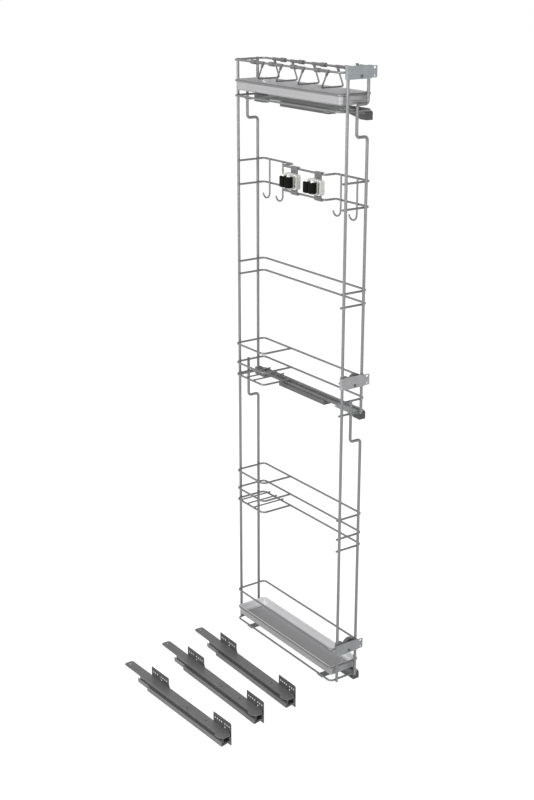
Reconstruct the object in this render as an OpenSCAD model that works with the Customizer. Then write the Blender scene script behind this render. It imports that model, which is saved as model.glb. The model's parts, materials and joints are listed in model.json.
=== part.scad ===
// Pull-out frame for a narrow tall cupboard: bent wire levels between upright wires,
// two trays, tool grips, sliding dividers, door plates, and the three runners it rides on.
// Wire levels are drawn with X across, Y from the door side to the back and Z up from the floor;
// everything is then moved so that the origin lies under the middle of the bottom carrier.

/* [Wire levels] */
// Width of a wire level, centre to centre of its wire
level_w = 100; // [90:1:140]
// Depth of a wire level, centre to centre of its wire
level_d = 470; // [420:5:600]
// Diameter of the level wire
wire_d = 5.8; // [4.5:0.1:6.9]
// Centre radius of the bends in the level wire
level_bend_r = 12; // [10:1:16]
// Where the open levels end, from the near side
open_end_x = 12; // [11:1:14]
// Gap between welded wires
weld_gap = 0.05; // [0.02:0.01:0.1]

/* [Heights above the floor] */
// Lowest ring
base_z = 26.5; // [24:0.5:40]
// Floor ring of the lower shelf
lower_shelf_z = 431; // [380:1:520]
// Floor ring of the middle shelf
middle_shelf_z = 829; // [700:1:900]
// Lower wire of the side rails
side_rails_z = 1128; // [1000:1:1200]
// Lower wire of the hook rails
hook_rails_z = 1385; // [1280:1:1400]
// Floor ring of the top basket
top_z = 1631.5; // [1600:1:1900]

/* [Steps between wires] */
// Floor ring to tray ring
tray_step = 40.6; // [38:0.2:50]
// Tray ring to guard ring at the top
top_guard_step = 55; // [50:1:75]
// Tray ring to guard ring at the base
base_guard_step = 59; // [50:1:75]
// Floor wire to middle wire of a shelf
shelf_step = 36.3; // [30:0.3:45]
// Middle wire to guard wire of a shelf
shelf_guard_step = 57; // [45:1:75]
// Distance between the side rails
side_rail_step = 36.3; // [25:0.3:50]
// Distance between the hook rails
hook_rail_step = 66.6; // [60:0.6:80]

/* [Uprights] */
// Diameter of the uprights
post_d = 8; // [6:0.1:9]
// Uprights from the sides of the levels
post_inset = 17.2; // [16:0.2:20]
// Sideways jog of the right uprights at the runners
jog_depth = 34.8; // [28:0.2:38]
// Centre radius of the jog bends
jog_r = 9; // [7:1:10]
// Upper jog bend above the top ring
jog_above = 16.5; // [14:0.5:20]
// Lower jog bend below the top ring
jog_below_top = 65; // [60:1:72]
// Lower jog bend below the middle ring
jog_below_middle = 78; // [60:1:90]

/* [Small baskets] */
// Depth of the closed basket at the back of each shelf
basket_d = 136; // [110:1:160]
// Diameter of its floor wires
floor_wire_d = 4.5; // [3.5:0.1:5.4]
// Number of floor wires
floor_wires = 3; // [2:1:4]
// Spacing of the floor wires
floor_wire_pitch = 34; // [24:1:38]
// First floor wire from the back
floor_wire_start = 26; // [20:1:30]

/* [Trays] */
// Depth of a tray below its ring
tray_h = 26; // [18:1:30]
// Sheet thickness of a tray
tray_t = 1; // [0.8:0.1:1.2]
// Gap between tray and ring wire
tray_gap = 0.35; // [0.3:0.05:0.5]

/* [Dividers] */
// Places of the dividers along the top basket
divider_y = [97, 198, 294, 377];
// Diameter of the divider wire
divider_wire_d = 4.5; // [3.8:0.1:5.4]
// Reach of a divider leg along the rail
divider_reach = 45; // [35:1:50]
// Drop of a divider below the guard ring
divider_drop = 45; // [35:1:46]
// Foot of a divider leg from the side of the basket
divider_foot = 15; // [12:1:20]
// Outer diameter of the plastic sleeve
sleeve_d = 8.6; // [8.2:0.1:10]
// Length of the thicker clip on the sleeve
clip_len = 20; // [14:1:24]
// Outer diameter of the thicker clip
clip_d = 11.5; // [10.4:0.1:13]
// Overlap of the sleeve past the divider's middle
sleeve_past = 8; // [6:1:10]
// Sliding clearance of a sleeve on its wire
sleeve_fit = 0.06; // [0.03:0.01:0.1]

/* [Hook rails] */
// Inward step of the hook rails where the tool grips hang
hook_rail_jog = 37; // [30:1:44]
// Half length of that stepped-in part
hook_rail_half = 96; // [90:1:110]
// Centre radius of the step's bends
hook_rail_bend = 8; // [7:1:9]
// Places of the front cloth hooks from the front wire
front_hooks = [43, 111];
// Places of the back cloth hooks from the back wire
back_hooks = [98, 35];
// Diameter of the hook wire
hook_d = 5; // [4:0.1:5.6]
// Centre radius of the hook's curl
hook_r = 16.5; // [13:0.5:17]
// Straight stem below the lower hook rail
hook_stem = 27; // [20:1:34]

/* [Tool grips] */
// Places of the tool grips from the middle of the level
grip_places = [-71, 35];
// Width of the grip's zinc plate
grip_plate_w = 30; // [26:1:34]
// Thickness of that plate
grip_plate_t = 2; // [1.5:0.1:2.5]
// Width of the grip body
grip_body_w = 60; // [56:1:68]
// Thickness of the body's back wall
grip_wall = 4; // [3:0.5:5]
// Depth of the body's upper and lower shelves
grip_shelf = 11; // [10:1:12]
// Radius of a rubber roller
roller_r = 11; // [10:0.5:11.5]
// Height of a rubber roller
roller_h = 29; // [26:1:32]
// Distance between the roller axes
roller_pitch = 23.5; // [23.5:0.5:26]
// Roller axis in front of the arm's pivot
arm_len = 16; // [16:0.5:20]
// Distance between the two arm pivots
pivot_pitch = 24; // [22:0.5:26]
// Thickness of an arm plate
arm_t = 2; // [1.6:0.1:2.4]
// Diameter of the roller pin
roller_pin_d = 5; // [4:0.1:6]
// Diameter of the arm pivot
pivot_d = 4; // [3:0.1:5]
// Running clearance of pins and pivots
pin_fit = 0.08; // [0.03:0.01:0.1]
// Gap between parts that move past each other
move_gap = 0.35; // [0.3:0.05:0.5]

/* [Door plates] */
// Height of a door plate
plate_h = 33; // [30:1:40]
// Thickness of a door plate
plate_t = 2; // [1.5:0.1:2.4]
// Left edge of the plate from the near side
plate_x = 9.8; // [9:0.1:10]
// Plate past the far side
plate_past = 3; // [2:0.5:6]
// Width of the narrower tab at the far end
tab_w = 17; // [15:1:20]
// Step between plate and tab at top and bottom
tab_step = 1.5; // [1:0.5:3]
// Fold that goes back past the near upright
plate_fold = 11; // [9:0.5:11]
// Radius of the round door screw hole
door_hole_r = 2.6; // [2:0.1:3]
// Length of the door screw slot
door_slot_l = 9; // [8:0.5:10]
// Travel of a door plate up and down from its middle
plate_travel = 2; // [1:0.5:2.5]
// Gap between the uprights and a door plate
plate_gap = 2.6; // [2.4:0.1:3.5]

/* [Carriers] */
// Width of a carrier rail
carrier_w = 23; // [20:1:24]
// Near edge of the carrier past the right uprights
carrier_gap = 0.7; // [0.5:0.1:2]
// Front end of a carrier from the front wires
carrier_front = 5; // [4.5:0.5:8]
// Carrier past the back wires
carrier_back = 36; // [30:1:45]
// Sheet thickness of a carrier
carrier_t = 1.6; // [1.2:0.1:2]
// Depth of the carrier's side lips
carrier_lip = 8.4; // [7:0.1:9]
// Length of the damper housing
housing_l = 214; // [200:1:250]
// Front end of the housing from the front wires
housing_y = 158; // [100:1:170]
// Housing past the near edge of the carrier
housing_past = 4; // [0:0.5:6]
// Wall of the damper housing
housing_wall = 1.6; // [1.2:0.1:2]
// Length of the front block
block_l = 28; // [24:1:34]
// Length of the tongue behind the front block
tongue_l = 46; // [30:1:60]
// Height of the front block
block_h = 19.5; // [18:0.5:20]
// Length of the rear catch
catch_l = 54; // [48:1:60]

/* [Runners] */
// Near front corner of each loose runner, from the frame's near front corner
runner_at = [[-426.2, -80.6], [-293.6, -41.2], [-174.7, -25.4]];
// Turn of each loose runner on the floor
runner_turn = [2.85, 0.9, 0];
// Width of a runner
runner_w = 38; // [36:1:46]
// Body above the lower edges of the flanges it stands on
runner_lift = 14; // [10:1:18]
// Height of the runner's top plate
runner_h = 40; // [38:0.5:44]
// Height of the screw flanges
flange_h = 66; // [60:1:72]
// Sheet thickness of the fixed profile
runner_t = 1.8; // [1.5:0.1:2]
// Length of the fixed profile
fixed_l = 357; // [340:1:400]
// Height of the fixed profile's near wall
near_wall_h = 14.5; // [13:0.5:15]
// Front flange behind the front of the near wall
flange_behind = 7; // [4:1:10]
// Length of the front flange
front_flange_l = 79; // [76:1:90]
// Length of the rear flange
rear_flange_l = 85; // [80:1:94]
// Rear flange past the back of the near wall
flange_past = 30; // [10:1:34]
// Length of the middle profile
middle_l = 407; // [400:1:440]
// Length of the top profile
top_l = 491; // [470:1:510]
// Top plate in front of the near wall
top_ahead = 3; // [0:0.5:6]
// Ball diameter
ball_d = 2.1; // [2:0.1:2.4]
// Clearance of a ball in its race
ball_fit = 0.05; // [0.03:0.01:0.1]
// Radius of a screw hole in the flanges
screw_hole_r = 3; // [2:0.1:3.4]
// Pitch of the screw holes
screw_pitch = 9.5; // [8.5:0.5:10]

/* [Hidden] */
$fn = 48;

wire_r = wire_d / 2;
top_tray_z = top_z + tray_step;
top_guard_z = top_tray_z + top_guard_step;
base_tray_z = base_z + tray_step;
base_guard_z = base_tray_z + base_guard_step;
middle_guard_z = middle_shelf_z + shelf_step + shelf_guard_step;
carrier_levels = [base_z, middle_shelf_z, top_z];
door_levels = [base_guard_z, middle_guard_z, top_guard_z];

cloth_hook_y = concat(front_hooks, [for (b = back_hooks) level_d - b]);
grip_y = [for (g = grip_places) level_d / 2 + g];

// Uprights stand just outside the front and back wires
post_off = (wire_d + post_d) / 2 + weld_gap;
post_y = [-post_off, level_d + post_off];
right_post_x = level_w - post_inset;
jog_x = right_post_x - jog_depth;

// Carrier: hangs under the far side of the floor rings
carrier_x = right_post_x + post_d / 2 + carrier_gap;
carrier_mid_x = carrier_x + carrier_w / 2;
plate_top = -wire_r - 0.3;
zinc_t = 1.45;
carrier_top = plate_top - zinc_t - weld_gap;
housing_top = carrier_top - carrier_lip - weld_gap;

// Cross-section of a runner, from the foot of its near wall
middle_x = runner_t + ball_d + 2 * ball_fit;
middle_w = runner_w - 2 * middle_x;
middle_t = 1.6;
middle_z = runner_lift + runner_t + 1;
middle_h = near_wall_h - 1.5;
stem_x = middle_x + middle_t + ball_d + 2 * ball_fit;
stem_w = runner_w - 2 * stem_x;
stem_z = middle_z + middle_t + 2;
top_t = 1.8;
plate_near = 5.5;
plate_far = 2.8;
fixed_ball_z = middle_z + 5.5;
stem_ball_z = middle_z + 8.5;

function unit(v) = v / norm(v);
function turn(u, w) = acos(max(-1, min(1, u * w)));

// Round bar from a to b
module bar(a, b, d) {
    v = b - a;
    l = norm(v);
    translate(a) rotate([0, acos(v[2] / l), atan2(v[1], v[0])]) cylinder(h = l, d = d);
}

// Bent round wire through points in space, with bends of centre radius r at the inner points
module bent_wire(p, r, d) {
    n = len(p);
    dirs = [for (i = [0:n - 2]) unit(p[i + 1] - p[i])];
    cut = [for (i = [0:n - 1]) i == 0 || i == n - 1 ? 0 : r * tan(turn(dirs[i - 1], dirs[i]) / 2)];
    for (i = [0:n - 2])
        bar(p[i] + dirs[i] * cut[i], p[i + 1] - dirs[i] * cut[i + 1], d);
    for (i = [1:n - 2]) {
        u = dirs[i - 1];
        normal = unit(cross(u, dirs[i]));
        m = cross(normal, u);
        c = p[i] - u * cut[i] + m * r;
        multmatrix([
            [-m[0], u[0], normal[0], c[0]],
            [-m[1], u[1], normal[1], c[1]],
            [-m[2], u[2], normal[2], c[2]],
            [0, 0, 0, 1]
        ]) rotate_extrude(angle = turn(u, dirs[i])) translate([r, 0]) circle(d = d);
    }
}

// Everything is drawn from the near front corner of the wire levels and moved to the origin here
module in_place() {
    translate([-carrier_mid_x, -level_d / 2, 0]) children();
}

module rounded_slab(w, d, h, r) {
    linear_extrude(h) rounded_outline(w, d, r);
}

module rounded_outline(w, d, r) {
    translate([r, 0]) square([w - 2 * r, d]);
    translate([0, r]) square([w, d - 2 * r]);
    for (x = [r, w - r])
        for (y = [r, d - r])
            translate([x, y]) circle(r);
}

// ---------- uprights ----------

module near_uprights() {
    color([0.56, 0.56, 0.56]) in_place() for (y = post_y)
        bar([post_inset, y, base_z - wire_r], [post_inset, y, top_guard_z + wire_r], post_d);
}

module far_uprights_upper() {
    color([0.56, 0.56, 0.56]) in_place() for (y = post_y) bent_wire([
        [right_post_x, y, top_guard_z + wire_r],
        [right_post_x, y, top_z + jog_above],
        [jog_x, y, top_z + jog_above],
        [jog_x, y, top_z - jog_below_top],
        [right_post_x, y, top_z - jog_below_top],
        [right_post_x, y, middle_shelf_z - wire_r]
    ], jog_r, post_d);
}

module far_uprights_lower() {
    color([0.56, 0.56, 0.56]) in_place() for (y = post_y) bent_wire([
        [jog_x, y, middle_shelf_z + shelf_step + wire_r],
        [jog_x, y, middle_shelf_z - jog_below_middle],
        [right_post_x, y, middle_shelf_z - jog_below_middle],
        [right_post_x, y, base_z - wire_r]
    ], jog_r, post_d);
}

// ---------- wire levels ----------

module closed_ring(z) {
    color([0.58, 0.58, 0.58]) in_place() bent_wire([
        [0, level_d / 2, z], [0, 0, z], [level_w, 0, z],
        [level_w, level_d, z], [0, level_d, z], [0, level_d / 2, z]
    ], level_bend_r, wire_d);
}

// Rail round the front, the far side and the back; the near side is open
module open_rail(z) {
    bent_wire([
        [open_end_x, 0, z], [level_w, 0, z],
        [level_w, level_d, z], [open_end_x, level_d, z]
    ], level_bend_r, wire_d);
}

// The same rail stepped inwards where the tool grips hang
module stepped_rail(z) {
    inner_x = level_w - hook_rail_jog;
    bent_wire([
        [open_end_x, 0, z], [level_w, 0, z],
        [level_w, level_d / 2 - hook_rail_half, z], [inner_x, level_d / 2 - hook_rail_half, z],
        [inner_x, level_d / 2 + hook_rail_half, z], [level_w, level_d / 2 + hook_rail_half, z],
        [level_w, level_d, z], [open_end_x, level_d, z]
    ], hook_rail_bend, wire_d);
}

// Rail that also closes a small basket at the back of a shelf
module shelf_wire(z) {
    basket_y = level_d - basket_d;
    bent_wire([
        [open_end_x, 0, z], [level_w, 0, z], [level_w, level_d, z],
        [0, level_d, z], [0, basket_y, z], [level_w - wire_r - weld_gap, basket_y, z]
    ], level_bend_r, wire_d);
}

module hook_rails() {
    color([0.58, 0.58, 0.58]) in_place()
        for (k = [0:1]) stepped_rail(hook_rails_z + k * hook_rail_step);
}

module side_rails() {
    color([0.58, 0.58, 0.58]) in_place()
        for (k = [0:1]) open_rail(side_rails_z + k * side_rail_step);
}

module shelf_wires(z) {
    color([0.58, 0.58, 0.58]) in_place()
        for (s = [0, shelf_step, shelf_step + shelf_guard_step]) shelf_wire(z + s);
}

module shelf_floor_wires() {
    over = 1;
    color([0.58, 0.58, 0.58]) in_place()
        for (z = [lower_shelf_z, middle_shelf_z])
            for (k = [0:floor_wires - 1]) {
                y = level_d - floor_wire_start - k * floor_wire_pitch;
                h = z + (wire_d + floor_wire_d) / 2 + weld_gap;
                bar([-wire_r - over, y, h], [level_w + wire_r + over, y, h], floor_wire_d);
            }
}

module cloth_hooks() {
    x = level_w - (wire_d + hook_d) / 2 - weld_gap;
    foot = hook_rails_z - hook_stem;
    color([0.58, 0.58, 0.58]) in_place()
        for (y = cloth_hook_y) {
            bar([x, y, foot], [x, y, hook_rails_z + hook_rail_step + wire_r], hook_d);
            translate([x, y + hook_r, foot]) rotate([90, 0, 90]) rotate([0, 0, 180])
                rotate_extrude(angle = 165) translate([hook_r, 0]) circle(d = hook_d);
        }
}

// ---------- trays ----------

module tray(z) {
    edge = wire_r + tray_gap;
    w = level_w - 2 * edge;
    d = level_d - 2 * edge;
    r = level_bend_r - edge;
    rim_z = wire_r + 0.1;
    color([0.78, 0.78, 0.79]) in_place() translate([edge, edge, z]) {
        difference() {
            translate([0, 0, -tray_h]) rounded_slab(w, d, tray_h + rim_z + tray_t, r);
            translate([tray_t, tray_t, tray_t - tray_h])
                rounded_slab(w - 2 * tray_t, d - 2 * tray_t, 2 * tray_h, r - tray_t);
        }
        translate([0, 0, rim_z]) difference() {
            translate([-edge, -edge, 0]) rounded_slab(w + 2 * edge, d + 2 * edge, tray_t, r + edge);
            translate([tray_t, tray_t, -tray_t])
                rounded_slab(w - 2 * tray_t, d - 2 * tray_t, 3 * tray_t, r - tray_t);
        }
    }
}

// ---------- dividers ----------

// Half of a divider's sleeve pair: near side; the far side is the same turned half a turn
module divider_half() {
    for (a = [0, 180])
        translate([level_w / 2, 0, 0]) rotate([0, 0, a]) translate([-level_w / 2, 0, 0]) children();
}

leg_dir = [divider_foot, divider_reach, -divider_drop] / norm([divider_foot, divider_reach, divider_drop]);
leg_start = [0, -divider_reach, 0];
leg_in = 8;
boss_l = 7.5;

module divider_clips(k) {
    rail_y = [-divider_reach - 5, sleeve_past];
    bore_end = leg_start + leg_dir * (leg_in - 0.5);
    boss_end = leg_start + leg_dir * (leg_in + boss_l);
    color([0.36, 0.36, 0.37]) in_place() translate([0, divider_y[k], top_guard_z]) divider_half()
        difference() {
            union() {
                bar([0, rail_y[0], 0], [0, rail_y[1], 0], sleeve_d);
                bar([0, sleeve_past - clip_len, 0], [0, sleeve_past, 0], clip_d);
                bar(leg_start + leg_dir * 2, boss_end, divider_wire_d + 2.4);
            }
            bar([0, rail_y[0] - 1, 0], [0, rail_y[1] + 1, 0], wire_d + 2 * sleeve_fit);
            bar(bore_end, boss_end + leg_dir, divider_wire_d + 2 * weld_gap);
        }
}

module divider_wire(k) {
    foot = [divider_foot, 0, -divider_drop];
    far_foot = [level_w - divider_foot, 0, -divider_drop];
    far_dir = [-leg_dir[0], -leg_dir[1], leg_dir[2]];
    corner_d = divider_wire_d + 0.3;
    color([0.5, 0.5, 0.5]) in_place() translate([0, divider_y[k], top_guard_z]) {
        bar(leg_start + leg_dir * leg_in, foot, divider_wire_d);
        bar(foot, far_foot, divider_wire_d);
        bar([level_w, divider_reach, 0] + far_dir * leg_in, far_foot, divider_wire_d);
        for (p = [foot, far_foot]) translate(p) sphere(d = corner_d);
    }
}

// ---------- tool grips ----------

grip_z = hook_rails_z + hook_rail_step / 2;
grip_wire_x = level_w - hook_rail_jog;
grip_plate_x = grip_wire_x - wire_r - weld_gap - grip_plate_t;
grip_body_x = grip_plate_x - weld_gap;
pivot_x = grip_body_x - grip_wall - grip_shelf / 2 - 1.5;
arm_z = roller_h / 2 + move_gap;
shelf_z = arm_z + arm_t + move_gap;
shelf_t = 2.8;
body_corner = 6;
screw_drop = 13;

module grip_plate() {
    lip = wire_d + 2 * grip_plate_t;
    half = hook_rail_step / 2 + wire_r + 0.1;
    difference() {
        union() {
            translate([grip_plate_x, -grip_plate_w / 2, -half - grip_plate_t])
                cube([grip_plate_t, grip_plate_w, 2 * (half + grip_plate_t)]);
            for (s = [-half - grip_plate_t, half])
                translate([grip_plate_x, -grip_plate_w / 2, s]) cube([lip, grip_plate_w, grip_plate_t]);
        }
        for (s = [-1, 1])
            translate([grip_plate_x - 1, 0, s * (hook_rail_step / 2 - screw_drop + 5)]) rotate([0, 90, 0])
                cylinder(h = grip_plate_t + 2, r = 2.2);
    }
}

module grip_plates() {
    color([0.68, 0.69, 0.7]) in_place()
        for (y = grip_y) translate([0, y, grip_z]) grip_plate();
}

module grip_body() {
    half_h = shelf_z + shelf_t;
    inner_w = grip_body_w - 2 * shelf_t;
    front_x = grip_body_x - grip_wall - grip_shelf;
    translate([front_x, 0, 0]) rotate([90, 0, 90]) difference() {
        translate([-grip_body_w / 2, -half_h])
            rounded_slab(grip_body_w, 2 * half_h, grip_shelf + grip_wall, body_corner);
        translate([-inner_w / 2, -shelf_z, -1])
            rounded_slab(inner_w, 2 * shelf_z, grip_shelf + 1, body_corner - shelf_t);
    }
    for (s = [-1, 1])
        translate([pivot_x, s * pivot_pitch / 2, -shelf_z - 1]) cylinder(h = 2 * shelf_z + 2, d = pivot_d);
}

module grip_bodies() {
    color([0.86, 0.86, 0.84]) in_place()
        for (y = grip_y) translate([0, y, grip_z]) grip_body();
}

roller_y = [grip_y[0] - roller_pitch / 2, grip_y[0] + roller_pitch / 2,
            grip_y[1] - roller_pitch / 2, grip_y[1] + roller_pitch / 2];
pivot_y = [grip_y[0] - pivot_pitch / 2, grip_y[0] + pivot_pitch / 2,
           grip_y[1] - pivot_pitch / 2, grip_y[1] + pivot_pitch / 2];
roller_x = pivot_x - arm_len;

// Arm with its boss on the pivot, two plates and the pin through the roller
module grip_arm(k) {
    boss_r = pivot_d / 2 + 2;
    pin_r = roller_pin_d / 2;
    dy = roller_y[k] - pivot_y[k];
    reach = norm([arm_len, dy]);
    angle = atan2(dy, -arm_len);
    color([0.82, 0.82, 0.8]) in_place() translate([pivot_x, pivot_y[k], grip_z]) difference() {
        union() {
            translate([0, 0, -arm_z - arm_t]) cylinder(h = 2 * (arm_z + arm_t), r = boss_r);
            rotate([0, 0, angle])
                for (s = [-1, 1])
                    translate([0, 0, s > 0 ? arm_z : -arm_z - arm_t]) linear_extrude(arm_t) {
                        translate([0, -boss_r]) square([reach, 2 * boss_r]);
                        translate([reach, 0]) circle(boss_r + 1.5);
                    }
            translate([-arm_len, dy, -arm_z - arm_t]) cylinder(h = 2 * (arm_z + arm_t) + 2, r = pin_r);
            translate([-arm_len, dy, arm_z + arm_t]) cylinder(h = 3.5, r = pin_r + 2);
        }
        translate([0, 0, -shelf_z]) cylinder(h = 2 * shelf_z, r = pivot_d / 2 + pin_fit);
    }
}

module grip_roller(k) {
    color([0.12, 0.12, 0.11]) in_place() translate([roller_x, roller_y[k], grip_z]) difference() {
        rotate_extrude() polygon([
            [0, -roller_h / 2], [roller_r - 1.5, -roller_h / 2], [roller_r, 1.5 - roller_h / 2],
            [roller_r, roller_h / 2 - 1.5], [roller_r - 1.5, roller_h / 2], [0, roller_h / 2]
        ]);
        translate([0, 0, -roller_h]) cylinder(h = 2 * roller_h, r = roller_pin_d / 2 + pin_fit);
    }
}

// ---------- door plates ----------

plate_back_y = post_y[0] - post_d / 2 - plate_gap;
plate_right_x = level_w + plate_past;
screw_x = plate_x + 0.472 * (plate_right_x - plate_x);
screw_r = 1.9;
screw_z = -9.5;
hole_x = plate_right_x - 7.5;
hole_z = plate_h / 2 - 6.5;
clamp_x = post_inset + post_d / 2 + 1.5;
clamp_end = right_post_x - post_d / 2 - 1;
knob_x = clamp_x + 23;
knob_y = -wire_r - 3.2;
knob_shank_r = 2;

module door_plate(z) {
    wide = plate_right_x - tab_w - plate_x;
    color([0.6, 0.63, 0.65]) in_place() translate([0, plate_back_y - plate_t, z]) difference() {
        union() {
            translate([plate_x, 0, -plate_h / 2]) cube([wide, plate_t, plate_h]);
            translate([plate_right_x - tab_w - 1, plate_t, tab_step - plate_h / 2]) rotate([90, 0, 0])
                rounded_slab(tab_w + 1, plate_h - 2 * tab_step, plate_t, 2);
            translate([plate_x, 0, -plate_h / 2]) cube([plate_t * 0.8, plate_fold, plate_h]);
            translate([plate_x, 0, plate_h / 2 - plate_t * 0.8]) cube([wide, 3.4, plate_t * 0.8]);
        }
        translate([screw_x, 0, screw_z]) rotate([90, 0, 0])
            linear_extrude(3 * plate_t, center = true) upright_slot(screw_r + pin_fit, 2 * plate_travel + 2);
        translate([hole_x, 0, -hole_z]) rotate([90, 0, 0])
            cylinder(h = 4 * plate_t, r = door_hole_r, center = true);
        translate([hole_x, 0, hole_z]) rotate([90, 0, 0]) linear_extrude(4 * plate_t, center = true)
            rotate([0, 0, 90]) upright_slot(door_hole_r, door_slot_l - 2 * door_hole_r);
    }
}

// Slot outline with half width r and its straight part of length l, upright
module upright_slot(r, l) {
    square([2 * r, l], center = true);
    for (s = [-1, 1]) translate([0, s * l / 2]) circle(r);
}

// Plastic clamps that snap over the guard wire behind each door plate: a low bar, a small hump
// next to the near upright and a wide flat arc behind the far one
module door_clamps() {
    front_y = plate_back_y + 3.4 + move_gap;
    low = screw_z - 5;
    bar_top = wire_r + 6;
    hump = [2, 18, 12.5, 12];
    arc_r = 20;
    arc_w = 34;
    arc_x = clamp_end - arc_w / 2 + 10;
    arc_back = 13;
    color([0.3, 0.3, 0.31]) in_place()
        for (z = door_levels) translate([0, 0, z]) difference() {
            union() {
                translate([clamp_x, front_y, low]) cube([clamp_end - clamp_x, 8 - front_y, bar_top - low]);
                translate([clamp_x + hump[0], front_y, 0]) cube([hump[1], hump[3] - front_y, hump[2]]);
                translate([screw_x - 8, plate_back_y + move_gap, low]) cube([16, 6, 10]);
                intersection() {
                    translate([arc_x, 0.5, 16 - arc_r]) rotate([-90, 0, 0])
                        cylinder(h = arc_back - 0.5, r = arc_r);
                    translate([arc_x - arc_w / 2, 0, 0]) cube([arc_w, arc_back + 1, 30]);
                }
            }
            translate([screw_x, plate_back_y - 1, screw_z]) rotate([-90, 0, 0])
                cylinder(h = 9, r = screw_r + 0.05);
            translate([0, 0, 0]) rotate([0, 90, 0]) cylinder(h = level_w, r = wire_r + 0.1);
            translate([0, -wire_r + 0.2, low - 1]) cube([level_w, arc_back + wire_r, 1 - low]);
            translate([knob_x, knob_y, 0]) cylinder(h = 40, r = knob_shank_r + 0.1);
        }
}

// Cross-slotted screws in the door plates
module door_screws() {
    head_y = plate_back_y - plate_t - move_gap;
    color([0.4, 0.4, 0.42]) in_place()
        for (z = door_levels) translate([screw_x, head_y, z + screw_z]) difference() {
            union() {
                rotate([-90, 0, 0]) cylinder(h = plate_t + move_gap + 7.5, r = screw_r);
                rotate([90, 0, 0]) cylinder(h = 1.8, r = 3.4);
            }
            for (a = [0, 90])
                translate([0, -1.8, 0]) rotate([0, a, 0]) cube([4.4, 2, 0.9], center = true);
        }
}

// Thumb knob that locks the top plate
module lock_knob() {
    head_z = plate_h / 2 + move_gap;
    color([0.45, 0.45, 0.46]) in_place() translate([knob_x, knob_y, top_guard_z]) {
        translate([0, 0, wire_r + 1.5]) cylinder(h = head_z - wire_r, r = knob_shank_r);
        translate([0, 0, head_z]) difference() {
            cylinder(h = 4.5, r = 4);
            for (a = [0:30:359])
                rotate([0, 0, a]) translate([4.2, 0, -1]) cylinder(h = 7, r = 0.6);
        }
    }
}

// ---------- carriers ----------

module at_carriers() {
    in_place() for (z = carrier_levels) translate([carrier_x, 0, z]) children();
}

rail_front = carrier_front + 4;
rail_back = level_d + carrier_back - catch_l - weld_gap;

slot_y = [24, 39, 68];

// Slots along the front of a carrier, from the near edge of the rail
module carrier_slots() {
    for (y = slot_y)
        translate([11, y, -carrier_lip]) linear_extrude(carrier_lip + 5) upright_slot(2.2, 5);
}

// Upside-down channel under the far side of the floor ring
module carrier_rails() {
    color([0.38, 0.38, 0.39]) at_carriers() difference() {
        translate([0, rail_front, carrier_top - carrier_lip])
            cube([carrier_w, rail_back - rail_front, carrier_lip]);
        translate([carrier_t, rail_front - 1, carrier_top - carrier_lip - 1])
            cube([carrier_w - 2 * carrier_t, rail_back - rail_front + 2, carrier_lip + 1 - carrier_t]);
        translate([0, 0, carrier_top]) carrier_slots();
    }
}

// Zinc plate over the front of each carrier, and the two straps across each closed ring
module carrier_plates() {
    plate_l = 74;
    reach = 26;
    color([0.7, 0.71, 0.71]) in_place() {
        for (z = carrier_levels) difference() {
            translate([carrier_x - reach, rail_front, z + plate_top - zinc_t])
                rounded_slab(carrier_w + reach - 1, plate_l, zinc_t, 2);
            translate([carrier_x, 0, z + carrier_top]) carrier_slots();
        }
        for (z = [base_z, top_z])
            for (y = [level_d - 78, 36])
                translate([-wire_r, y, z + plate_top - zinc_t])
                    cube([carrier_x + wire_r - (y < level_d / 2 ? reach + 0.3 : -4), 24, zinc_t]);
    }
}

// Damper housing: a closed shell with the soft-close damper inside
module damper_housings() {
    low = -base_z;
    h = housing_top - low;
    margin = 0.8;
    w = carrier_w - margin + housing_past;
    color([0.33, 0.33, 0.34]) at_carriers() translate([-housing_past, housing_y, low]) difference() {
        translate([0, housing_l, 0]) rotate([90, 0, 0]) linear_extrude(housing_l)
            polygon([[0, 0.8], [0.8, 0], [w - 0.8, 0], [w, 0.8], [w, h], [0, h]]);
        translate([housing_wall, housing_wall, housing_wall])
            cube([w - 2 * housing_wall, housing_l - 2 * housing_wall, h - 2 * housing_wall]);
        for (k = [0:2])
            translate([-1, 12, h * (0.28 + 0.22 * k)]) cube([1.4, housing_l - 24, 0.7]);
    }
}

module dampers() {
    body_r = (housing_top + base_z) / 2 - housing_wall - 0.3;
    body_l = 0.42 * housing_l;
    mid = (housing_top - base_z) / 2;
    color([0.75, 0.75, 0.76]) at_carriers() translate([carrier_w / 2, housing_y + housing_wall + 0.5, mid])
        rotate([-90, 0, 0]) {
            cylinder(h = body_l, r = body_r);
            cylinder(h = housing_l - 2 * housing_wall - 1, r = body_r / 3);
            translate([0, 0, housing_l - 2 * housing_wall - 9]) cylinder(h = 8, r = body_r);
        }
}

// Ribbed block that closes the front of each carrier
module front_blocks() {
    low = -base_z;
    w = carrier_w - 2;
    under = housing_top - low;
    color([0.4, 0.4, 0.4]) at_carriers() translate([0.5, carrier_front, low]) difference() {
        union() {
            translate([0, block_l, 0]) rotate([90, 0, 0]) rounded_slab(w, under, block_l, 1);
            cube([w, 3.7, block_h]);
            translate([1, 0, 0]) rotate([90, 0, 90]) linear_extrude(w - 2) polygon([
                [block_l - 2, 2], [block_l + 6, 2], [block_l + tongue_l, under - 3],
                [block_l + tongue_l, under], [block_l - 2, under]
            ]);
        }
        for (k = [1:5]) {
            translate([-1, -1, k * 3]) cube([w + 2, 1.4, 0.9]);
            translate([-1, 4, k * 2 - 0.2]) cube([1.4, block_l - 8, 0.7]);
        }
    }
}

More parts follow.
